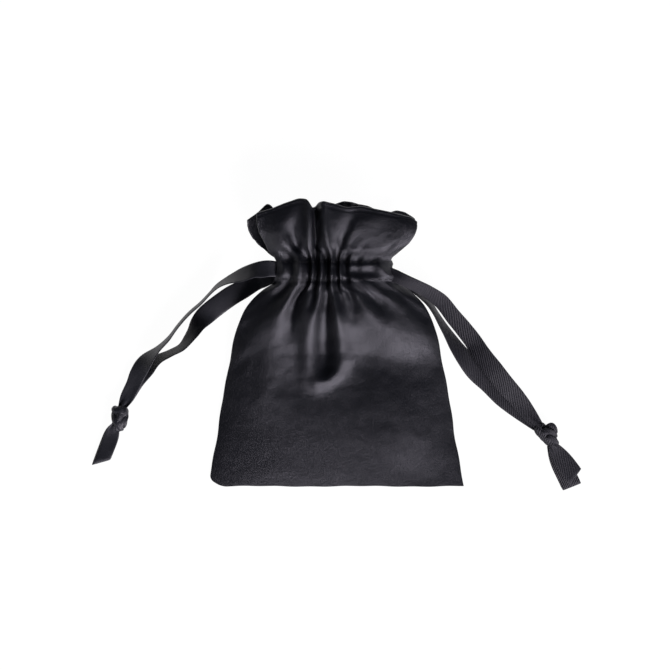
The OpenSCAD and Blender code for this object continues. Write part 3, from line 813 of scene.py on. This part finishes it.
def folded(x, y, folds):
    """Height that the folds give a row of points at x, all at the same y."""
    z = np.zeros_like(x)
    for kind, points in folds:
        p = np.array(points)
        best = np.full(x.shape, 1e9)
        width, height = np.ones_like(x), np.zeros_like(x)
        for a, b in zip(p[:-1], p[1:]):
            run = b[:2] - a[:2]
            t = np.clip(((x - a[0]) * run[0] + (y - a[1]) * run[1]) / (run @ run), 0, 1)
            away = np.hypot(x - a[0] - t * run[0], y - a[1] - t * run[1])
            near = away < best
            best = np.where(near, away, best)
            width = np.where(near, a[2] + t * (b[2] - a[2]), width)
            height = np.where(near, a[3] + t * (b[3] - a[3]), height)
        z += height * np.exp(-(best / width) ** (2.0 if kind == "round" else 1.3))
    return z


def ease_rows(a, times):
    for _ in range(times):
        b = a.copy()
        b[1:-1] = (a[:-2] + 2 * a[1:-1] + a[2:]) / 4
        a = b
    return a


def body_half(y):
    """Half width of the body at y: narrow under the casing, with quick round shoulders."""
    t = (LOW - y) / (LOW - BOTTOM)
    shoulder = SHOULDER * (1 - exp(-t / SHOULDER_SHARE))
    return NECK_HALF + shoulder + (BODY_HALF - (NECK_HALF + SHOULDER)) * t


def stations():
    """Every row of the cloth: its part, its y as it lies, and its place along the flat cut."""
    rows = [("body", BOTTOM, 0.0)]
    flat = 0.0
    for part, low, high, count, length in (("body", BOTTOM, LOW, FOLD_ROW, BODY_FLAT),
                                           ("casing", LOW, UP, CASING_ROWS, CASING_FLAT),
                                           ("frill", UP, TOP, FRILL_ROWS, FRILL_FLAT)):
        rows += [(part, low + k / count * (high - low), flat + k / count * length)
                 for k in range(1, count + 1)]
        flat += length
    return rows


def body_profile(y, front, u, x, half):
    """Heights across one row of the body."""
    mirror = 1 if front else -1
    # The puffed part ends lower towards the right, and fades out gently on the left.
    crown = along_table(np.minimum(y + 4 * smoothstep(6, 30, mirror * x), LOW), CROWN)
    gentle = along_table(y, [CROWN[2], CROWN[-2]])
    crown = crown + (gentle - crown) * smoothstep(-11, -24, mirror * x) * smoothstep(-30, -16, y)
    side = along_table(y, SIDE)
    edge = 1 - np.abs(u) ** 8
    free = smoothstep(0, 4, LOW - y)  # 0 at the casing, where the folds turn into its pleats
    folds = folded(mirror * x, y, BODY_FOLDS)
    pleats = waves(mirror * x * 19 / half, CASING_PLEATS) * edge * (1 if front else BACK_PLEATS)
    if front:
        # The left side slopes off all the way to its seam, and the right side only near its own.
        droop = 1.5 * smoothstep(-22, 4, y) * smoothstep(0, -0.4, u)
        z = side + (crown - side) * (1 - np.abs(u) ** (2.2 + 1.5 * free - droop)) + folds * edge
        neck = side + (NECK_H - side) * (1 - np.abs(u) ** 4) + pleats
    else:
        base = 0.25 + 1.4 * smoothstep(-14, 18, y)
        z = np.maximum(side + (base - side) * (1 - np.abs(u) ** 3) + 0.7 * folds * edge, 0.08)
        neck = side + (BACK_H - side) * (1 - np.abs(u) ** 4) + pleats
    return z * free + neck * (1 - free)


def casing_pleats(u, front):
    reach = CASING_PLEATS[-1][0]
    return waves(u * reach, CASING_PLEATS) if front else BACK_PLEATS * waves(-u * reach, CASING_PLEATS)


def casing_profile(t, y, front, u, x):
    """Heights across one row of the casing, t of the way up it."""
    edge = 1 - np.abs(u) ** 10
    pleats = casing_pleats(u, front) * edge
    corner = np.abs(u) ** (4 + 4 * smoothstep(0, 0.4, t))
    spread = smoothstep(0, 0.4, t) * 3.0 * corner
    if front:
        across = folded(x, y, CASING_FOLDS) * sin(pi * t) ** 0.5
        return SEAM_H + (NECK_H + 0.5 * sin(pi * t) - SEAM_H) * (1 - corner) + pleats + spread + across * edge
    return SEAM_H + (BACK_H - SEAM_H) * (1 - corner) + pleats - spread


def frill_profile(t, y, front, u, x):
    """Heights across one row of the frill, t of the way up it."""
    mix = smoothstep(0, 0.22, t)
    folds = folded(x, y, FRILL_FOLDS) if front else 0.7 * folded(-x, y, FRILL_FOLDS)
    w = ((1 - mix) * casing_pleats(u, front) + mix * folds) * (1 - 0.3 * np.abs(u) ** 10)
    root = 2.2 * (1 - t) ** 2 * np.abs(u) ** 8
    if front:
        return np.maximum(NECK_H + FRILL_RISE * t * (2 - t) + w - root - t * 1.2 * u * u, 0.1)
    return np.maximum(BACK_H + 0.4 * t + w + root + t * (1.6 * u * u + 5 * u ** 4), 0.1)


def half_widths(part, y, front):
    """How far a row of the cloth reaches to the left and to the right."""
    if part == "body":
        return body_half(y), body_half(y)
    if part == "casing":
        t = (y - LOW) / (UP - LOW)
        return NECK_HALF - 1.2 * sin(pi * t) - 0.8 * t, NECK_HALF - 1.8 * sin(pi * t) - 2.4 * t
    t = (y - UP) / (TOP - UP)
    flare = sin(pi / 2 * min(1, t * 1.08) ** 0.85)
    return 19.2 + flare * (5.6 if front else 8.3), 17.6 + flare * (7.7 if front else 6.8)


def row_points(part, y, front):
    """A row of the cloth as it lies, and its length along the folds."""
    left, right = half_widths(part, y, front)
    x = np.linspace(-left, right, 1600)
    u = np.where(x < 0, x / left, x / right)
    if part == "body":
        z = body_profile(y, front, u, x, left)
    elif part == "casing":
        z = casing_profile((y - LOW) / (UP - LOW), y, front, u, x)
    else:
        t = (y - UP) / (TOP - UP)
        z = frill_profile(t, y, front, u, x)
        drop = np.where(u < 0, 3.5 if front else 5.4, 6.6 if front else 4.6) * u * u
        y = y - t * (drop + 0.3 * np.cos(u * 9))
    run = distances(np.stack([x, z], 1))
    line = np.stack([x, np.broadcast_to(y, x.shape), z], 1)
    return points_at(np.linspace(0, run[-1], COLUMNS), run, line), run[-1]


def lie_of_the_cloth():
    """Where the cloth of the front and the back starts, and the width of its flat cut at every row."""
    lie, widths = {}, {}
    for front in (True, False):
        points, lengths = zip(*[row_points(part, y, front) for part, y, _ in stations()])
        lie[front] = np.array(points)
        widths[front] = ease_rows(np.array(lengths), 3)
    return lie, widths


def flat_cut(widths, height=0.0):
    """The flat cut as a grid."""
    lengths = np.array([row[2] for row in stations()])
    return np.stack([np.outer(widths, np.linspace(-0.5, 0.5, COLUMNS)),
                     np.repeat(lengths[:, None], COLUMNS, 1), np.full((ROWS, COLUMNS), height)], 2)


def cloth_index():
    """Vertex numbers of the front and back grids. They share the side seams and the bottom seam."""
    front = np.arange(ROWS * COLUMNS).reshape(ROWS, COLUMNS)
    back = front + ROWS * COLUMNS
    back[0] = front[0]
    back[:BODY_ROWS, [0, -1]] = front[:BODY_ROWS, [0, -1]]
    used, packed = np.unique(np.concatenate([front.ravel(), back.ravel()]), return_inverse=True)
    packed = packed.reshape(2, ROWS, COLUMNS)
    return packed[0], packed[1], len(used)


SETTLED = 0.35  # share of the solver's movement that the gathered cloth keeps
SETTLED_LOW = 0.10  # and the flat lower part of the body, which lies smooth
SIM_UNIT = MM * 20.0  # the cloth is solved twenty times larger, where Blender's solver is stable
SIM_FRAMES = 26


def cloth_object(lie, widths):
    """The sewn pouch as one sheet of cloth, at the solver's scale, with its flat cut as a shape key."""
    front, back, count = cloth_index()
    start, flat = np.zeros((count, 3)), np.zeros((count, 3))
    for index, side in ((back, False), (front, True)):
        start[index.ravel()] = lie[side].reshape(-1, 3)
        flat[index.ravel()] = flat_cut(widths[side], 0.04 if side else -0.04).reshape(-1, 3)
    up = grid_quads(ROWS, COLUMNS, 0, False)
    faces = np.concatenate([front.ravel()[up], back.ravel()[up][:, ::-1]])
    mesh = bpy.data.meshes.new("cloth")
    mesh.from_pydata((start * SIM_UNIT).tolist(), [], faces.tolist())
    cloth = bpy.data.objects.new("cloth", mesh)
    bpy.context.scene.collection.objects.link(cloth)
    cloth.shape_key_add(name="Basis")
    key = cloth.shape_key_add(name="flat")
    key.data.foreach_set("co", (flat * SIM_UNIT).astype(np.float32).ravel())
    key.value = 0
    pins = np.unique(np.concatenate([g[r] for g in (front, back) for r in (FOLD_ROW, STITCH_ROW)]))
    cloth.vertex_groups.new(name="pin").add(pins.tolist(), 1.0, "ADD")
    return cloth, front, back


def add_solver(cloth):
    """Satin that resists stretch much more than bending, held where the casing is sewn."""
    solver = cloth.modifiers.new("cloth", "CLOTH")
    satin = solver.settings
    satin.quality = 5
    satin.mass = 0.25
    satin.tension_stiffness = 20
    satin.compression_stiffness = 20
    satin.shear_stiffness = 6
    satin.bending_model = "ANGULAR"
    satin.bending_stiffness = 15
    satin.tension_damping = 10
    satin.compression_damping = 10
    satin.shear_damping = 8
    satin.bending_damping = 2
    satin.air_damping = 3
    satin.vertex_group_mass = "pin"
    satin.pin_stiffness = 1
    satin.rest_shape_key = cloth.data.shape_keys.key_blocks["flat"]
    satin.effector_weights.gravity = 0.08
    touch = solver.collision_settings
    touch.distance_min = 0.005
    touch.self_distance_min = 0.005
    touch.use_self_collision = True
    touch.collision_quality = 2
    touch.self_friction = 2
    solver.point_cache.frame_start = 1
    solver.point_cache.frame_end = SIM_FRAMES


def add_table():
    bpy.ops.mesh.primitive_plane_add(size=10)
    table = bpy.context.object
    table.modifiers.new("collision", "COLLISION")
    table.collision.thickness_outer = 0.003
    table.collision.cloth_friction = 8
    return table


def settle(lie, widths):
    """Lets the sewn cloth settle on the table with Blender's cloth solver, and returns the front and
    back grids."""
    cloth, front, back = cloth_object(lie, widths)
    add_solver(cloth)
    table = add_table()
    scene = bpy.context.scene
    scene.frame_end = SIM_FRAMES
    for frame_number in range(1, SIM_FRAMES + 1):
        scene.frame_set(frame_number)
    solved = cloth.evaluated_get(bpy.context.evaluated_depsgraph_get())
    co = np.empty(len(solved.data.vertices) * 3, np.float32)
    solved.data.vertices.foreach_get("co", co)
    co = co.reshape(-1, 3).astype(float) / SIM_UNIT
    scene.frame_set(1)
    for obj in (cloth, table):
        data = obj.data
        bpy.data.objects.remove(obj)
        bpy.data.meshes.remove(data)
    return co[front], co[back]


# ---------------------------------------------------------------- shaping after the solve

CLOTH_T = 0.25
STITCH_Y = (LOW + 1.2, UP - 1.2)  # the two rows of stitches that hold the casing

# Height of the mouth's edge by x, for the front and the back of the frill.
FRONT_EDGE = [(-24.9, 40.6), (-20, 42.0), (-16, 43.6), (-11.5, 45.1), (-9.2, 44.9), (-8, 43.8), (-7, 41.9),
              (-5.6, 43.9), (-3.6, 44.2), (-.3, 43.4), (3.3, 42.3), (7.8, 42.8), (17, 40.9), (23.5, 39.4),
              (25.4, 37.9)]
BACK_EDGE = [(-27.8, 38.8), (-24.5, 41.2), (-21.6, 44.1), (-20, 43.3), (-18.5, 41), (-10, 43), (-7, 41.7),
             (-3, 43), (-.3, 43.9), (2.4, 44.8), (4.7, 44.5), (10.2, 43.2), (15, 40.9), (17.5, 41.4),
             (18.9, 41.9), (21.6, 41.3), (24.4, 39.6), (25.4, 38.1)]


def trim_mouth(grid, edge):
    """Slides the frill's rows along y so that its edge has the height that the table gives."""
    g = grid.copy()
    top = g[-1]
    rise = ease_rows(along_table(top[:, 0], edge), 2) - top[:, 1]
    root = UP + 3
    g[:, :, 1] += rise * smoothstep(0, 1, (g[:, :, 1] - root) / np.maximum(top[:, 1] - root, 4))
    return g


def round_corner(front, back):
    """The bottom left corner of the body is rounded, and the seams waver a little."""
    for g in (front, back):
        near = np.clip((BOTTOM + 4 - g[:, :, 1]) / 4, 0, 1)
        left = np.clip((-BODY_HALF + 6 - g[:, :, 0]) / 6, 0, 1)
        g[:, :, 0] += 1.5 * near ** 2 * left
        g[:, :, 1] += 1.6 * near * left ** 2
        side = smoothstep(0.86, 1.0, np.abs(g[:, :, 0]) / (0.1 + np.abs(g[:, :1, 0])))
        body = smoothstep(LOW, LOW - 6, g[:, :, 1])
        waver = 0.10 * np.sin(g[:, :, 1] / 1.9 + 1) + 0.12 * np.sin(g[:, :, 1] / 3.7)
        g[:, :, 0] += side * body * waver * np.sign(g[:, :, 0])
        low = smoothstep(BOTTOM + 5, BOTTOM, g[:, :, 1])
        g[:, :, 1] += low * (0.12 * np.sin(g[:, :, 0] / 5.3) + 0.07 * np.sin(g[:, :, 0] / 1.7))


def stitch_grooves(grid, outward):
    """Both rows of stitches pull the casing in, with a small pucker at each stitch."""
    g = grid.copy()
    normals = grid_normals(g, outward)
    for k, y in enumerate(STITCH_Y):
        lane = np.full(g.shape[:2], float(k))
        wander = 0.35 * random_field(g[:, :, 0], lane, 3.0, 5 + k)
        near = np.exp(-((g[:, :, 1] - y - wander) / 0.7) ** 2)
        pucker = 0.7 + 0.45 * random_field(g[:, :, 0], lane, 1.6, 9 + k)
        g -= normals * (0.32 * near * pucker)[:, :, None]
    return g


def surface_detail(grid, flat, outward, seed):
    """Small creases and unevenness that a handled satin keeps."""
    u, v = flat[:, :, 0], flat[:, :, 1]
    soft = 0.10 * random_field(u, v, 5.5, seed) + 0.05 * random_field(u, v, 2.6, seed + 1)
    calm = smoothstep(-44, 6, grid[:, :, 1]) * smoothstep(UP + 14, UP, grid[:, :, 1])
    return grid + grid_normals(grid, outward) * (soft * (0.35 + 0.65 * calm))[:, :, None]


FINE = 2  # steps of the fine grid to one of the solved grid
FINE_FOLD, FINE_STITCH = FOLD_ROW * FINE, STITCH_ROW * FINE


class Side:
    """The front or the back of the pouch, as fine grids of its outer surface and its flat cut."""

    def __init__(self, grid, widths, front):
        self.front = front
        self.outward = 1 if front else -1
        self.flat = refine(flat_cut(widths)[:, :, :2], FINE)
        self.outer = refine(relax(grid, 2), FINE)

    def sculpt(self, seed):
        self.outer = surface_detail(self.outer, self.flat, self.outward, seed)
        self.outer = stitch_grooves(self.outer, self.outward)
        self.outer[:, :, 2] = np.maximum(self.outer[:, :, 2], 0.06)

    def normals(self):
        return grid_normals(self.outer, self.outward)

    def cut_width(self, row, cols=slice(None)):
        return np.ptp(self.flat[row, cols, 0])


DEEP_FOLD = -2.5  # x of the front's deepest fold at the casing


def make_panel(side, other, name, material):
    """One panel of the body, in two halves that part at the deepest fold."""
    thick = np.minimum(CLOTH_T, 0.42 * np.linalg.norm(side.outer - other.outer, axis=2))
    normals = side.normals()
    inner = side.outer - normals * thick[:, :, None]
    rows = slice(0, FINE_FOLD + 1)
    cut = np.argmin(np.abs(side.outer[FINE_FOLD, :, 0] - DEEP_FOLD * side.outward))
    for half, cols, pulled in (("left", slice(0, cut + 1), "right_cord"),
                               ("right", slice(cut, None), "left_cord")):
        area = rows, cols
        obj = shell(f"{name}_{half}", side.outer[area], inner[area], side.flat[area] / 10, material,
                    flip=not side.front, normals=normals[area])
        blend_body(piece(obj, name), pulled)
        top, low = side.cut_width(FINE_FOLD, cols), side.cut_width(0, cols)


def blend_body(obj, pulled):
    """Cloth of the body goes with the pouch when no cord pulls it. With a cord, its placing is baked into its
    mesh."""
    if not pulled:
        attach(obj, "pouch")
        return
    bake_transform(obj)


def make_casing(side, name, material):
    """The gathered tunnel for the cords: an outer wall, and an inner wall sewn to it along both rows."""
    rows = slice(FINE_FOLD, FINE_STITCH + 1)
    outer, flat = side.outer[rows], side.flat[rows] / 10
    opening = np.clip(np.sin(pi * np.linspace(0, 1, len(outer))), 0, 1)[:, None] ** 0.5
    inner = relax(outer, 6)
    inner[:, :, 2] -= side.outward * (0.5 + 2.3 * opening)
    inner[[0, -1]] = outer[[0, -1]]
    inner[[0, -1], :, 2] -= side.outward * 0.45
    if not side.front:
        inner[:, :, 2] = np.maximum(inner[:, :, 2], outer[:, :, 2] + 0.4)
    open_rows = slice(2, len(outer) - 2)
    top, low = outer[open_rows].copy(), inner[open_rows].copy()
    wall = np.minimum(0.3, 0.3 * (top[:, :, 2] - low[:, :, 2]) * side.outward)
    top[:, :, 2] -= side.outward * (wall + 0.15 * (1 - opening[open_rows]))
    low[:, :, 2] += side.outward * wall
    loops = [np.concatenate(pair) for pair in ((outer, inner[::-1]), (top, low[::-1]))]
    uvs = [np.concatenate([f, f[::-1] + [0, 2]]) for f in (flat, flat[open_rows])]
    obj = tunnel(name + "_cloth", loops, uvs, material, not side.front, side.normals()[rows])
    gather(piece(obj, name))
    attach(obj, "pouch")
    side.cut_width(FINE_FOLD) * MM


def tunnel(name, loops, uvs, material, flip, normals):
    """A closed tube along x between an outside loop and an inside loop of points, open at both ends.
    normals are those of the first points, the outer wall. The rest are left to Blender."""
    cols = loops[0].shape[1]
    n_out, n_in = (len(loop) for loop in loops)
    first = n_out * cols
    verts = np.concatenate([loop.reshape(-1, 3) for loop in loops])
    faces = []
    for count, start, turn in ((n_out, 0, flip), (n_in, first, not flip)):
        for r in range(count):
            a, b = start + r * cols, start + (r + 1) % count * cols
            for c in range(cols - 1):
                quad = (a + c, a + c + 1, b + c + 1, b + c)
                faces.append(quad[::-1] if turn else quad)
    smooth = [True] * len(faces)
    # The ends, where the outside loop has more points than the inside one.
    for c, turn in ((0, flip), (cols - 1, not flip)):
        for r in range(n_out):
            i, j = (first + int(q / n_out * n_in) % n_in * cols + c for q in (r, r + 1))
            a, b = (q % n_out * cols + c for q in (r, r + 1))
            face = (a, b, j, i) if i != j else (a, b, i)
            faces.append(face[::-1] if turn else face)
            smooth.append(False)
    given = normals.reshape(-1, 3)
    all_normals = np.concatenate([given, np.zeros((len(verts) - len(given), 3))])
    all_uvs = np.concatenate([uv.reshape(-1, 2) for uv in uvs])
    return finish_mesh(name, verts, faces, smooth, all_uvs, material, normals=all_normals)


def gather(obj):
    """Gives the casing, the frill or their stitches a mesh of their own."""
    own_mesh(obj)


def make_frill(side, name, body, material):
    """The ruffle above the casing: cloth folded double, with the fold along its free edge."""
    rows = slice(FINE_STITCH, None)
    n = side.normals()[rows]
    from_edge = np.arange(len(n))[::-1] / FINE * FRILL_FLAT / FRILL_ROWS
    hem = np.exp(-((from_edge - 1.35) / 0.28) ** 2)
    outer = side.outer[rows] - n * (0.14 * hem)[:, None, None]
    normals = grid_normals(outer, side.outward)
    normals[0] = n[0]
    normals[-2:] = 0
    normals[:, [0, 1, -2, -1]] = 0
    thick = 0.42 + 0.16 * np.exp(-(from_edge / 0.9) ** 2)
    inner = outer - n * thick[:, None, None]
    inner[:, :, 2] = np.maximum(inner[:, :, 2], 0.03)
    obj = shell(name + "_cloth", outer, inner, side.flat[rows] / 10, material, flip=not side.front,
                rounded=True, normals=normals)
    gather(piece(obj, name))
    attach(obj, body)
    side.cut_width(FINE_STITCH) * MM


# ---------------------------------------------------------------- seam allowances and thread


SEAM_COLUMNS, SEAM_ROWS = 13, 7  # width of the seam allowances, in the fine grid's columns and rows


def make_allowance(front, back, name, rows, cols, material, pulled):
    """A strip of both cloths inside a seam, midway between the two panels."""
    a, b = front.outer[rows, cols], back.outer[rows, cols]
    mid = (a + b) / 2
    half = np.zeros_like(mid)
    half[:, :, 2] = np.minimum(0.16, 0.06 * np.linalg.norm(a - b, axis=2) + 0.01)
    obj = shell(name + "_cloth", mid + half, mid - half, front.flat[rows, cols] / 10, material)
    blend_body(piece(obj, name), pulled)


def thread_stitch(points, radius):
    """One stitch: a rounded length of thread along three or more points."""
    line = spline(points, 3)
    step = unit(np.gradient(line, axis=0))
    across = unit(np.cross(step, [0.0, 0.0, 1.0]))
    up = np.cross(across, step)
    n = len(line)
    taper = np.sqrt(np.clip(1 - np.linspace(-1, 1, n) ** 6, 0.05, 1))
    a = np.linspace(0, 2 * pi, 8, endpoint=False)
    ring = across[:, None, :] * np.cos(a)[None, :, None] + up[:, None, :] * np.sin(a)[None, :, None]
    verts, faces = tube(line, ring * (radius * taper)[:, None, None])
    length = np.linalg.norm(line[-1] - line[0])
    return verts, faces, tube_uv(a / (2 * pi), np.linspace(0, length, n))


def join_stitches(name, stitches, radius, material):
    tubes = [thread_stitch(points, radius) for points in stitches]
    return piece(make_tubes(name + "_thread", tubes, material, True), name)


def casing_stitches(side, y, name, material):
    """A row of stitches over the pleats, on the outside of the front or the back."""
    column = side.outer[FINE_FOLD:FINE_STITCH + 1, COLUMNS, 1]
    row = np.argmin(np.abs(column - y)) + FINE_FOLD
    normals = side.normals()[row]
    line = side.outer[row] + normals * 0.03
    margin, count = 4, 26
    span = (len(line) - 1 - 2 * margin) / count
    stitches = []
    for k in range(count):
        start = margin + k * span
        at = np.linspace(start + 0.12 * span, start + 0.80 * span, 5)
        points = points_at(at, np.arange(len(line)), line)
        points[[0, -1]] -= normals[int(start)] * 0.15
        stitches.append(points)
    obj = join_stitches(name, stitches, 0.11, material)
    gather(obj)
    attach(obj, "pouch")


def seam_stitches(line, name, material, pulled):
    """Stitches along a line between the two panels."""
    run = distances(line)
    pitch = 2.5
    stitches = [points_at(np.linspace(k * pitch + 0.3, k * pitch + 2.1, 4), run, line)
                for k in range(int(run[-1] // pitch))]
    blend_body(join_stitches(name, stitches, 0.12, material), pulled)


def settled_cloth():
    """The front and the back of the pouch, settled, trimmed and with their small creases."""
    lie, widths = lie_of_the_cloth()
    front_grid, back_grid = settle(lie, widths)
    share = np.interp([row[1] for row in stations()], (-22, 4), (SETTLED_LOW, SETTLED))[:, None, None]
    front_grid = trim_mouth(lie[True] + share * (front_grid - lie[True]), FRONT_EDGE)
    back_grid = trim_mouth(lie[False] + share * (back_grid - lie[False]), BACK_EDGE)
    round_corner(front_grid, back_grid)
    front, back = Side(front_grid, widths[True], True), Side(back_grid, widths[False], False)
    front.sculpt(21)
    back.sculpt(57)
    return front, back


def make_pouch():
    front, back = settled_cloth()
    satin, reverse, thread = satin_material(), reverse_material(), thread_material()
    make_panel(front, back, "front_panel", satin)
    make_panel(back, front, "back_panel", satin)
    make_casing(front, "front_casing", satin)
    make_casing(back, "back_casing", satin)
    make_frill(front, "front_frill", "front_frill", satin)
    make_frill(back, "back_frill", "pouch", satin)
    seam_rows = slice(3, FINE_FOLD - 3)
    left, right = slice(0, SEAM_COLUMNS), slice(-SEAM_COLUMNS, None)
    make_allowance(front, back, "left_side_seam", seam_rows, left, reverse, "right_cord")
    make_allowance(front, back, "right_side_seam", seam_rows, right, reverse, "left_cord")
    make_allowance(front, back, "bottom_seam", slice(0, SEAM_ROWS), slice(4, -4), reverse, None)
    for side, part in ((front, "front"), (back, "back")):
        casing_stitches(side, STITCH_Y[1], part + "_upper_stitching", thread)
        casing_stitches(side, STITCH_Y[0], part + "_lower_stitching", thread)
    mid = (front.outer + back.outer) / 2
    stitched = slice(4, FINE_FOLD - 4)
    seam_stitches(mid[stitched, 3], "left_side_stitching", thread, "right_cord")
    seam_stitches(mid[stitched, -4], "right_side_stitching", thread, "left_cord")
    seam_stitches(mid[FINE, 8:-8], "bottom_stitching", thread, None)


make_studio()
make_cords()
make_pouch()
bpy.context.view_layer.update()
